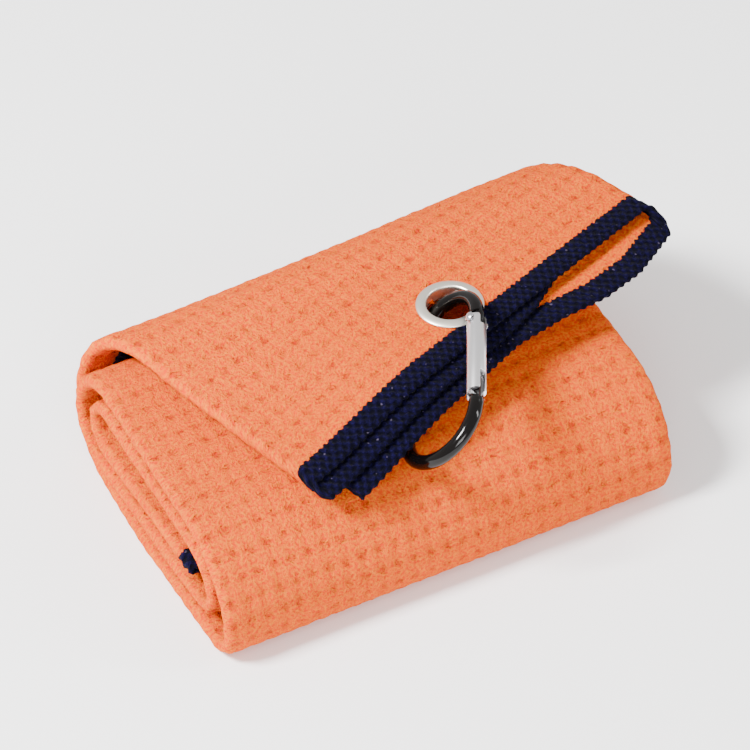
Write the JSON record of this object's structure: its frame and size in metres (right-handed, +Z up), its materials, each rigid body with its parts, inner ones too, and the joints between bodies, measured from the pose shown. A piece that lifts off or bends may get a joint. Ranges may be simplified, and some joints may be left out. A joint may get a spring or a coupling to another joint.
{
  "type": "golf towel",
  "caption": "Waffle-weave golf towel, folded lengthwise, rolled flat and edge-bound, with an eyelet through its outer end and a spring-gated snap hook.",
  "frame": {"origin": "on the surface that the rolled towel rests on, under the middle of the roll", "axes": "+X along the roll, -Y its front, where the outer end lies skewed across the top, +Z up"},
  "size_m": [0.1673, 0.1071, 0.0633],
  "materials": {
    "towel_orange": "waffle-weave microfibre",
    "binding_navy": "overlocked thread edge",
    "eyelet_plate": "nickel plate",
    "hook_black": "gloss black",
    "gate_bright": "bright plate",
    "pin_steel": "plain steel"
  },
  "bodies": {
    "towel": {"towel_cloth": "towel_orange", "binding_outer_end": "binding_navy", "binding_inner_end": "binding_navy", "binding_middle_panel": "binding_navy", "binding_under_panel": "binding_navy", "eyelet": "eyelet_plate", "eyelet_washer": "eyelet_plate"},
    "carabiner": {"carabiner_body": "hook_black", "gate_pivot_pin": "pin_steel", "gate_latch_pin": "pin_steel"},
    "gate": {"carabiner_gate": "gate_bright", "gate_spring": "pin_steel"},
    "plunger": {"gate_plunger": "pin_steel"}
  },
  "joints": [
    {"name": "carabiner_swivel", "type": "hinge", "parent": "towel", "child": "carabiner", "pos_m": [0.02449, -0.00343, 0.05337], "axis": [-0.0332, -0.001, 0.9994], "range_deg": [-1, 10]},
    {"name": "gate_pivot", "type": "hinge", "parent": "carabiner", "child": "gate", "pos_m": [0.02425, -0.01853, 0.06004], "axis": [0.6392, -0.2868, -0.7136], "range_deg": [0, 18], "stiffness_Nm_per_rad": 0.03, "springref_deg": -28.65},
    {"name": "plunger_slide", "type": "slide", "parent": "gate", "child": "plunger", "axis": [-0.4917, -0.8658, -0.0924], "range_m": [0, 0.0002]}
  ],
  "couplings": [
    {"joint": "plunger_slide", "follows": "gate_pivot", "m_per_rad": 0.0006}
  ]
}
